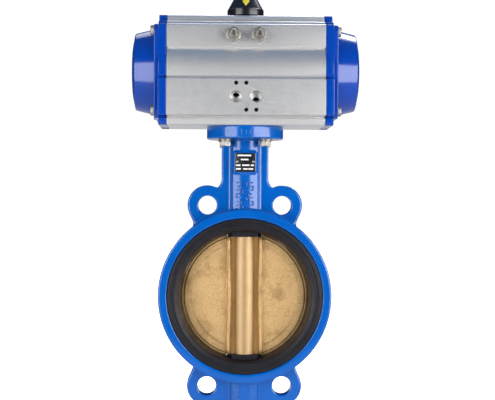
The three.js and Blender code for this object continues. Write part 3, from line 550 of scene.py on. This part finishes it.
def make_fasteners():
    for side, sign in (("right", 1), ("left", -1)):
        for i, (y, z) in enumerate(CAP_SCREWS):
            at = (sign * y, z)
            piece(socket_screw(sign, at), f"cap_screw_{side}_{i + 1}", "housing",
                  LOOKS["stainless"], [f"end_cap_screw_{side}_{i + 1}"])
    for i, at in enumerate(STOP_SCREWS):
        socket = lambda degrees: hex_radius(5.0, degrees + 30)
        threads = []
        for k in range(int(34 / 1.5)):
            y = -73.6 + 1.5 * k
            threads += [(5.0, y), (5.0, y + 0.35), (4.45, y + 0.75), (4.45, y + 1.1)]
        profile = [(0, -70.5), (socket, -71), (socket, -74.8), (3.2, -75), (4.3, -75), (4.8, -74.4), *threads,
                   (5.0, -39), (5.0, -21.2), (4.3, -20.5), (0, -20.5)]
        piece(turned(profile, "y", 60, at), f"stop_screw_{i + 1}", "housing", WORN_STEEL,
              [f"travel_stop_screw_{i + 1}"])
        piece(hex_head(-62.9, -55.1, 16, at, "y", 5.25), f"stop_nut_{i + 1}", "housing",
              WORN_STEEL, [f"travel_stop_nut_{i + 1}"])
    for i, at in enumerate(FLANGE_BOLTS):
        seat = 189.7
        head = hex_head(seat - 7.1, seat - 1.9, 13, at, chamfer_high=False)
        split = [(4.3, -1.85), (6.5, -1.85), (6.6, -1.7), (6.6, -0.15), (6.5, 0), (4.3, 0)]
        split = turned([(radius, seat + z) for radius, z in split], "z", 48, at, ring=True)
        shank = turned([(0, seat - 3), (4, seat - 3), (4, 220), (3.2, 221), (0, 221)], "z", 32, at)
        piece(joined(head, split, shank), f"bolt_{i + 1}", "housing", WORN_STEEL,
              [f"flange_bolt_{i + 1}"])
        washer = [(4.2, 189.8), (7.8, 189.8), (8.0, 190.0), (8.0, 191.2), (7.8, 191.4), (4.2, 191.4)]
        piece(turned(washer, "z", 48, at, ring=True), f"washer_{i + 1}", "housing", WORN_STEEL,
              [f"flange_washer_{i + 1}"])


# ---------- valve casting ----------

LUG = (45.92, 110.87)
LUG_RADIUS = 24.5
WEB = 28.7
NECK_TOP = 185.6
LIP = 94.8
RING = 105.8
FLANGE_RADIUS = 47.0
COLUMN_CURVE = 30.0
COLUMN_FRONT = 19.0


def lug_outline(sign):
    """The web and its two lugs, seen along the pipe: up the right side from the ring, then down the left."""
    right = [(63.3, 70, 0), (63.3, 90, 6)]
    right += [(x, z, 0) for x, z in arc(LUG_RADIUS, -24, 118, 5, LUG)]
    right += [(32.3, 133.2, 5), (WEB, 140, 9), (WEB, NECK_TOP, 1.2)]
    if sign < 0:
        right = [(x, z, r) for x, z, r in right if z < 136] + [(WEB, 131, 1.2)]
    both = right + [(-x, z, r) for x, z, r in reversed(right)]
    return [(x, sign * z) for x, z in rounded(both, step=10)]


def column_depth(x):
    """How far the column's curved front is from the stem's axis."""
    return math.sqrt(COLUMN_CURVE ** 2 - x * x) - (COLUMN_CURVE - COLUMN_FRONT)


def column_turn(x):
    """The angle about Z that lays a small piece flat on the column's front."""
    return -math.asin(x / COLUMN_CURVE)


def fourfold(quarter):
    """The outline whose points in one quarter are given, from the u axis round to the v axis."""
    back = quarter[::-1]
    left = [(-x, y) for x, y in back] + [(-x, -y) for x, y in quarter]
    return quarter + left + [(x, -y) for x, y in back]


def neck_section():
    """The column and web cut across the stem, with the casting's fillets between them."""
    web = rounded([(WEB, 2), (WEB, 9.8, 0.8), (24, 9.8)], 30, False)
    fillet = arc(4.2, 270, 190, 16, (20.6, 14))
    return fourfold(web + fillet + [(x, column_depth(x)) for x in (16, 14, 12, 10, 8, 6, 4, 2)])


def throat_section():
    half_width = 18.8
    front = [(x, column_depth(x)) for x in (half_width, 17, 15, 13, 11, 9, 7, 5, 3)]
    return fourfold([(half_width, 4)] + front)


def make_casting():
    ring = rounded([(86, -22.4, 0), (LIP, -22.4, 0), (LIP, -27, 0.5), (RING, -27, 1.6), (RING, 27, 1.6),
                    (LIP, 27, 0.5), (LIP, 22.4, 0), (86, 22.4, 0)], 15)
    casting = object_of(turned(ring, "y", 200, ring=True), "valve_casting")
    parts = [prism(lug_outline(sign), "y", -10, 10, 2, 2, 3) for sign in (1, -1)]
    parts += [prism(neck_section(), "z", 92, NECK_TOP, 0, 1, 2)]
    parts += [prism(neck_section(), "z", -131, -92, 1, 0, 2)]
    parts += [prism(throat_section(), "z", NECK_TOP - 1, 192)]
    parts += [turned([(0, -135), (15.4, -135), (16.4, -134), (16.4, -100), (0, -100)], "z", 96)]
    flange = [(0, 191.5, 0), (FLANGE_RADIUS, 191.5, 0.9), (FLANGE_RADIUS, 207, 0.6), (0, 207, 0)]
    flange = rounded(flange, 15, False)
    parts += [turned(flange, "z", 128)]
    plate_pad = rounded([(-13.6, 149.8, 2), (13.6, 149.8, 2), (13.6, 176.2, 2), (-13.6, 176.2, 2)], 15)
    parts += [prism(plate_pad, "y", -20.4, -8, 0.8, 0, 2)]
    combine(casting, parts, "UNION")
    cuts = [turned([(0, -40), (86, -40), (86, 40), (0, 40)], "y", 200)]
    for sign in (-1, 1):
        recess = [(0, sign * 22.4), (LIP, sign * 22.4), (LIP, sign * 40), (0, sign * 40)]
        cuts.append(turned(recess, "y", 200))
        cuts.append(turned([(0, sign * 60), (13.1, sign * 60), (13.1, sign * 240), (0, sign * 240)], "z", 64))
    for x, z in [(a * LUG[0], b * LUG[1]) for a in (-1, 1) for b in (-1, 1)]:
        cuts.append(turned([(0, -30), (11.5, -30), (11.5, 30), (0, 30)], "y", 64, (x, z)))
    combine(casting, cuts, "DIFFERENCE")
    remesh = casting.modifiers.new("remesh", "REMESH")
    remesh.mode, remesh.voxel_size, remesh.adaptivity = "VOXEL", 1.1 * MM, 0.0
    soften = casting.modifiers.new("soften", "SMOOTH")
    soften.factor, soften.iterations = 0.5, 5
    settle(casting)
    bolt_hole = [(0, 190), (4.6, 190), (4.6, 210), (0, 210)]
    combine(casting, [turned(bolt_hole, "z", 32, at) for at in FLANGE_BOLTS], "DIFFERENCE")
    piece(casting, "valve_casting", "housing", LOOKS["valve_paint"], ["valve_body"], 60)


def bar(length, width, height, radius=0.5):
    """A small raised bar with rounded edges, lying on Y = 0 and standing out towards -Y."""
    outline = rounded([(-length / 2, -width / 2, radius), (length / 2, -width / 2, radius),
                       (length / 2, width / 2, radius), (-length / 2, width / 2, radius)], 30)
    return prism(outline, "y", -height, 1.2, min(0.45, height * 0.8), 0, 2)


def placed(bm, x, y, z, turn=0.0):
    """Turns a small piece about Z and moves it, in millimetres."""
    bm.transform(Matrix.Translation(Vector((x, y, z)) * MM) @ Matrix.Rotation(turn, 4, "Z"))
    return bm


def make_cast_marks():
    """Plain raised bars where a foundry puts its marks: on both columns, and three on the flange's rim."""
    marks = []
    sunk = 0.1
    lengths = (5.2, 3.4, 4.6, 2.6, 5.6, 3.8, 4.4, 3.0)
    for column, x in enumerate((-8.0, -0.4, 7.4)):
        for row in range(8):
            z = 138.5 - row * 4.6
            length = lengths[(row * 3 + column * 5) % len(lengths)]
            marks.append(placed(bar(length, 1.5, 1.5), x, sunk - column_depth(x), z, column_turn(x)))
            if (row + column) % 2:
                upright = x + 2.4 * (1 if row % 4 < 2 else -1)
                mark = bar(1.5, 4.2, 1.5)
                marks.append(placed(mark, upright, sunk - column_depth(upright), z - 1.6, column_turn(x)))
    for row in range(3):
        for x in (-4.6, 4.4):
            mark = bar(lengths[row + (x > 0)], 1.6, 1.1)
            marks.append(placed(mark, x, sunk - column_depth(x), -112 - row * 5.2, column_turn(x)))
    for degrees in (-6, 0.5, 6.5):
        angle = math.radians(degrees)
        tall = 5.0 if degrees == 0.5 else 7.5
        x, y = FLANGE_RADIUS * math.sin(angle), sunk - FLANGE_RADIUS * math.cos(angle)
        marks.append(placed(bar(1.3, tall, 0.7), x, y, 199.3, angle))
    piece(joined(*marks), "cast_marks", "housing", LOOKS["valve_paint"], (), 40)


# ---------- liner and disc ----------

def make_liner():
    mouth = [(78.1, 9, 3), (79.2, 20, 4), (81.4, 27.2, 1.2), (84.8, 28.3, 0.6)]
    inner_ring = [(85.6, 28.9, 0.5), (86.8, 28.9, 0.5), (87.4, 28.2, 0.3), (88.9, 28.2, 0.3)]
    outer_ring = [(89.4, 28.9, 0.4), (90.4, 28.9, 0.4), (90.9, 28.2, 0.4)]
    lip = [(93.5, 28.0, 0.8), (94.4, 27.2, 0.6), (94.4, 22.6, 0.3), (85.7, 22.6, 0)]
    half = mouth + inner_ring + outer_ring + lip
    section = rounded([(r, -y, c) for r, y, c in half] + [(r, y, c) for r, y, c in reversed(half)], 20)
    liner = object_of(turned(section, "y", 220, ring=True), "rubber_liner")
    for sign in (1, -1):
        near, far = sign * 72.2, sign * 81
        boss = object_of(turned([(0, near), (20.9, near), (21, far), (0, far)], "z", 96), "boss")
        flats = rounded([(x, y, 0.8) for x, y in ((-22, -14), (22, -14), (22, 14), (-22, 14))], 20)
        combine(boss, [prism(flats, "z", *sorted((sign * 72, sign * 82)))], "INTERSECT")
        combine(liner, [boss], "UNION")
    combine(liner, [turned([(0, -100), (9.8, -100), (9.8, 100), (0, 100)], "z", 48)], "DIFFERENCE")
    piece(liner, "rubber_liner", "housing", LOOKS["liner_rubber"], ["seat_liner"], 35)


def smooth_step(value, start, end):
    t = min(1.0, max(0.0, (value - start) / (end - start)))
    return t * t * (3 - 2 * t)


DISC_RADIUS = 78.0
HUB_RADIUS = 13.5
HUB_EDGE = 10.5
HUB_END = 71.9
BOSS_EDGE = 21.3
GROOVE_FLOOR = 5.2


def ridge_place(z):
    """How far the ridges beside the hub are from the stem's axis; they bow in towards the middle."""
    return 19.45 - 0.6 * math.cos(math.pi * min(1.0, abs(z) / 74))


def disc_height(x, z):
    """Half the disc's thickness at a place, in millimetres."""
    side, out = abs(x), math.hypot(x, z)
    wing = 6.4 - 1.6 * min(1.0, out / 62) - 0.8 * smooth_step(out, 63.5, 67)
    rim = smooth_step(out, 73.4, 75.0)
    wing += (2.7 - wing) * rim - 1.0 * smooth_step(out, 76.4, DISC_RADIUS)
    ridge = ridge_place(z)
    crest = (1 - smooth_step(abs(side - ridge), 1.4, 3.0)) * (1 - 0.6 * smooth_step(abs(z), 66, 76))
    wing += (10.4 - wing) * crest
    groove = 1 - smooth_step(side, ridge - 3.2, ridge - 2.0)
    wing += (GROOVE_FLOOR - wing) * groove
    hub = math.sqrt(HUB_RADIUS ** 2 - side ** 2) if side < HUB_EDGE else 0
    return max(wing, hub)


def make_disc():
    spans = ((0, 9, 13), (9.4, 24, 40), (24.6, 70, 56), (70.4, DISC_RADIUS - 0.1, 26))
    edges = {round(v, 3) for span in spans for v in np.linspace(*span)}
    edges |= {round(BOSS_EDGE - 0.02, 3), round(BOSS_EDGE + 0.02, 3)}
    columns = sorted({-e for e in edges} | edges)
    rows = 190
    top = lambda x: HUB_END if abs(x) < BOSS_EDGE else math.sqrt(DISC_RADIUS ** 2 - x * x)
    vertices, faces = [], []
    for face_sign in (-1, 1):
        for x in columns:
            for k in range(rows + 1):
                v = 2 * k / rows - 1
                z = top(x) * math.sin(v * math.pi / 2 * 0.86) / math.sin(math.pi / 2 * 0.86)
                vertices.append((x, face_sign * disc_height(x, z), z))
    wide = len(columns)
    at = lambda sheet, i, k: (sheet * wide + i) * (rows + 1) + k
    for i in range(wide - 1):
        for k in range(rows):
            faces.append((at(0, i, k), at(0, i + 1, k), at(0, i + 1, k + 1), at(0, i, k + 1)))
            faces.append((at(1, i, k), at(1, i, k + 1), at(1, i + 1, k + 1), at(1, i + 1, k)))
    rim = [(i, 0) for i in range(wide)] + [(wide - 1, k) for k in range(1, rows + 1)]
    rim += [(i, rows) for i in range(wide - 2, -1, -1)] + [(0, k) for k in range(rows - 1, 0, -1)]
    for (i, k), (j, m) in zip(rim, rim[1:] + rim[:1]):
        faces.append((at(0, i, k), at(0, j, m), at(1, j, m), at(1, i, k)))
    disc = mesh_from(vertices, faces)
    for face in disc.faces:
        middle = face.calc_center_median() / MM
        side = abs(middle.x)
        # Faces in the grooves beside the hub take the darker painted-shade bronze (index 2); the hub takes
        # the turned bronze (index 1).
        in_groove = HUB_EDGE - 0.2 < side < ridge_place(middle.z) - 2.4
        face.material_index = 2 if in_groove else 1 if side < HUB_EDGE else 0
    disc = object_of(disc, "bronze_disc")
    for look in (LOOKS["bronze"], TURNED_BRONZE, GROOVE_SHADE):
        disc.data.materials.append(look)
    piece(disc, "bronze_disc", "rotor", LOOKS["bronze"], ["valve_disc"], 50)


# ---------- indicator and plate ----------

DIAL = {"radius": 22.4, "rim": 351.2, "bottom": 343.1, "top": 370.0, "top_radius": 11.8, "marker": 360.2}


def make_indicator():
    d = DIAL
    profile = rounded([(9.3, 341.3, 0), (12.7, 341.3, 0.3), (12.7, d["bottom"], 0.2),
                       (d["radius"], d["bottom"], 0.7), (d["radius"], d["rim"], 0.8),
                       (d["radius"] - 0.5, d["rim"] + 0.2, 0.4), (d["top_radius"], d["top"], 1.2),
                       (5.9, d["top"], 0.5), (5.8, d["top"] - 4.5, 0), (3.3, d["top"] - 4.5, 0),
                       (3.3, 361.4, 0), (9.3, 361.4, 0)], 12)
    cone = object_of(turned(profile, "z", 128, ring=True), "dome")
    piece(cone, "indicator_dome", "rotor", LOOKS["black_plastic"],
          ["position_indicator"], 30)
    fall = (d["radius"] - 0.5 - d["top_radius"]) / (d["top"] - d["rim"] - 0.2)
    surface = lambda z: d["radius"] - 0.5 - fall * (z - d["rim"] - 0.2)
    for i, sign in enumerate((-1, 1)):
        steps, height, width = 14, 6.2, 4.4
        vertices, faces = [], []
        for depth in (0.35, -0.9):
            for a in range(steps + 1):
                for b in range(steps + 1):
                    u, v = a / steps - 0.5, b / steps - 0.5
                    x, z = (u + v) * width, d["marker"] + (v - u) * height
                    edge = max(abs(u), abs(v)) * 2
                    lift = depth - (0.3 * smooth_step(edge, 0.8, 1.0) if depth > 0 else 0)
                    radius = surface(z) + lift
                    vertices.append((x, sign * math.sqrt(radius ** 2 - x * x), z))
        index = lambda s, a, b: (s * (steps + 1) + a) * (steps + 1) + b
        for a in range(steps):
            for b in range(steps):
                for s in (0, 1):
                    around = ((a, b), (a + 1, b), (a + 1, b + 1), (a, b + 1))
                    faces.append([index(s, *corner) for corner in around])
        border = [(a, 0) for a in range(steps)] + [(steps, b) for b in range(steps)]
        border += [(a, steps) for a in range(steps, 0, -1)] + [(0, b) for b in range(steps, 0, -1)]
        for (a, b), (p, q) in zip(border, border[1:] + border[:1]):
            faces.append((index(0, a, b), index(0, p, q), index(1, p, q), index(1, a, b)))
        piece(mesh_from(vertices, faces), f"marker_{i + 1}", "rotor",
              LOOKS["yellow_plastic"], [f"indicator_marker_{i + 1}"], 50)


def make_plate():
    back, front, middle = -20.7, -21.5, 163.0
    sheet = rounded([(-12.3, middle - 11.5, 0.8), (12.3, middle - 11.5, 0.8), (12.3, middle + 11.5, 0.8),
                     (-12.3, middle + 11.5, 0.8)], 20)
    piece(prism(sheet, "y", front, back, 0.15, 0, 2), "rating_plate", "housing",
          LOOKS["label_black"], ["name_plate"], 40)
    rows = [(8.6, [(-1.0, 16.5)]), (3.6, [(-0.6, 9.5)]), (-3.4, [(-8.6, 5.2), (0.6, 8.6), (8.6, 3.6)]),
            (-7.9, [(-8.4, 5.8), (0.2, 5.4), (6.6, 5.8)])]
    prints = []
    for z, bars in rows:
        for x, length in bars:
            prints.append(placed(bar(length, 1.7, 0.12, 0.3), x, front - 0.02, middle + z))
    piece(joined(*prints), "rating_plate_bars", "housing", PLATE_PRINT, (), 40)
    for i, x in enumerate((-10, 10)):
        head = [(0, front - 1.1), (0.9, front - 1.0), (1.55, front - 0.55), (1.75, front - 0.05),
                (0.9, front - 0.05), (0.9, back + 0.1), (0, back + 0.1)]
        piece(turned(head, "y", 32, (x, 164)), f"plate_rivet_{i + 1}", "housing",
              LOOKS["stainless"], [f"name_plate_rivet_{i + 1}"], 60)


# ---------- floor, light and camera ----------

def area_light(name, azimuth, elevation, distance, width, height, radiance, aim=(0, 0, 0.15)):
    """A soft box seen from the object at that azimuth, 0 being -Y and positive towards +X."""
    a, e = math.radians(azimuth), math.radians(elevation)
    aim = Vector(aim)
    offset = Vector((math.sin(a) * math.cos(e), -math.cos(a) * math.cos(e), math.sin(e)))
    light = bpy.data.lights.new(name, "AREA")
    light.shape, light.size, light.size_y = "RECTANGLE", width, height
    light.energy = radiance * math.pi * width * height
    lamp = bpy.data.objects.new(name, light)
    bpy.context.scene.collection.objects.link(lamp)
    lamp.location = aim + offset * distance
    lamp.rotation_euler = (-offset).to_track_quat("-Z", "Y").to_euler()
    lamp.visible_camera = False
    return lamp


def floor_paper():
    """Pale paper, bright enough for the camera to see it as white."""
    white = (0.9, 0.9, 0.9)
    paper = Surface("floor_paper", white, 0.9)
    paper.link(paper.mix(paper.spread(paper.noise(400, 3), 0, 1), white, (0.88, 0.88, 0.885)), "Base Color")
    paper.set("Emission Color", (1, 1, 1, 1))
    paper.set("Emission Strength", 1.0)
    return paper.material


def table_glow():
    """The white table's light, which reflections and soft light see in place of the floor."""
    glow = bpy.data.materials.new("table_glow")
    glow.use_nodes = True
    tree = glow.node_tree
    tree.nodes.clear()
    shine, out = tree.nodes.new("ShaderNodeEmission"), tree.nodes.new("ShaderNodeOutputMaterial")
    shine.inputs["Color"].default_value = (0.97, 0.98, 1.0, 1)
    shine.inputs["Strength"].default_value = 0.6
    tree.links.new(shine.outputs[0], out.inputs["Surface"])
    return glow


def staged_sheet(name, low, high, z, material):
    corners = [(low[0], low[1], z), (high[0], low[1], z), (high[0], high[1], z), (low[0], high[1], z)]
    sheet = object_of(mesh_from(corners, [(0, 1, 2, 3)]), name)
    sheet.data.materials.append(material)
    return sheet


def make_world():
    """White behind the object, and for reflections a dark studio with a dim blue ceiling."""
    world = bpy.data.worlds.new("studio")
    bpy.context.scene.world = world
    world.use_nodes = True
    tree = world.node_tree
    seen, unseen = tree.nodes["Background"], tree.nodes.new("ShaderNodeBackground")
    seen.inputs["Color"].default_value = (1, 1, 1, 1)
    seen.inputs["Strength"].default_value = 1.05
    coords, split = tree.nodes.new("ShaderNodeTexCoord"), tree.nodes.new("ShaderNodeSeparateXYZ")
    tree.links.new(coords.outputs["Generated"], split.inputs[0])
    ramp = tree.nodes.new("ShaderNodeValToRGB")
    ramp.color_ramp.elements[0].position, ramp.color_ramp.elements[0].color = 0.25, (0.018, 0.022, 0.03, 1)
    ramp.color_ramp.elements[1].position, ramp.color_ramp.elements[1].color = 0.85, (0.07, 0.16, 0.32, 1)
    tree.links.new(split.outputs["Z"], ramp.inputs["Fac"])
    tree.links.new(ramp.outputs["Color"], unseen.inputs["Color"])
    path, mix = tree.nodes.new("ShaderNodeLightPath"), tree.nodes.new("ShaderNodeMixShader")
    tree.links.new(path.outputs["Is Camera Ray"], mix.inputs["Fac"])
    tree.links.new(unseen.outputs[0], mix.inputs[1])
    tree.links.new(seen.outputs[0], mix.inputs[2])
    tree.links.new(mix.outputs[0], tree.nodes["World Output"].inputs["Surface"])


def make_studio():
    scene = bpy.context.scene
    scene.view_settings.view_transform = "Standard"
    floor_z = CAD_BOX[0][2] / MM - 0.5
    floor = staged_sheet("studio_floor", (-6000, -6000), (6000, 6000), floor_z, floor_paper())
    floor.visible_diffuse = floor.visible_glossy = floor.visible_transmission = floor.visible_shadow = False
    table = staged_sheet("table", (-1600, -650), (1600, 12000), floor_z + 0.2, table_glow())
    table.visible_camera = table.visible_shadow = False
    make_world()
    area_light("soft_box_left", -44, 0, 1.5, 1.06, 1.52, 5.6, (0, 0, 0.04))
    area_light("soft_box_right", 51, 0, 1.4, 1.38, 1.06, 7.0, (0, 0, 0.15))
    area_light("rear_top", 170, 55, 1.7, 1.6, 0.9, 2.2)
    area_light("rear_key", 153, 50, 1.6, 1.0, 0.5, 11.0, (0, 0, 0.3))

    camera_data = bpy.data.cameras.new("camera")
    camera = bpy.data.objects.new("camera", camera_data)
    scene.collection.objects.link(camera)
    camera_data.sensor_width = 36.0
    camera_data.lens = 88.32727
    camera_data.clip_start = 0.05
    camera.location = (-0.031, -1.5, 0.1173)
    pan, roll = math.radians(-1.314), math.radians(0.25)
    camera.matrix_world = (Matrix.Translation(camera.location) @ Matrix.Rotation(pan, 4, "Z")
                           @ Matrix.Rotation(math.radians(90), 4, "X") @ Matrix.Rotation(roll, 4, "Z"))
    scene.camera = camera


make_studio()
make_housing()
make_cap("right", 1)
make_cap("left", -1)
make_fasteners()
make_casting()
make_cast_marks()
make_liner()
make_disc()
make_indicator()
make_plate()
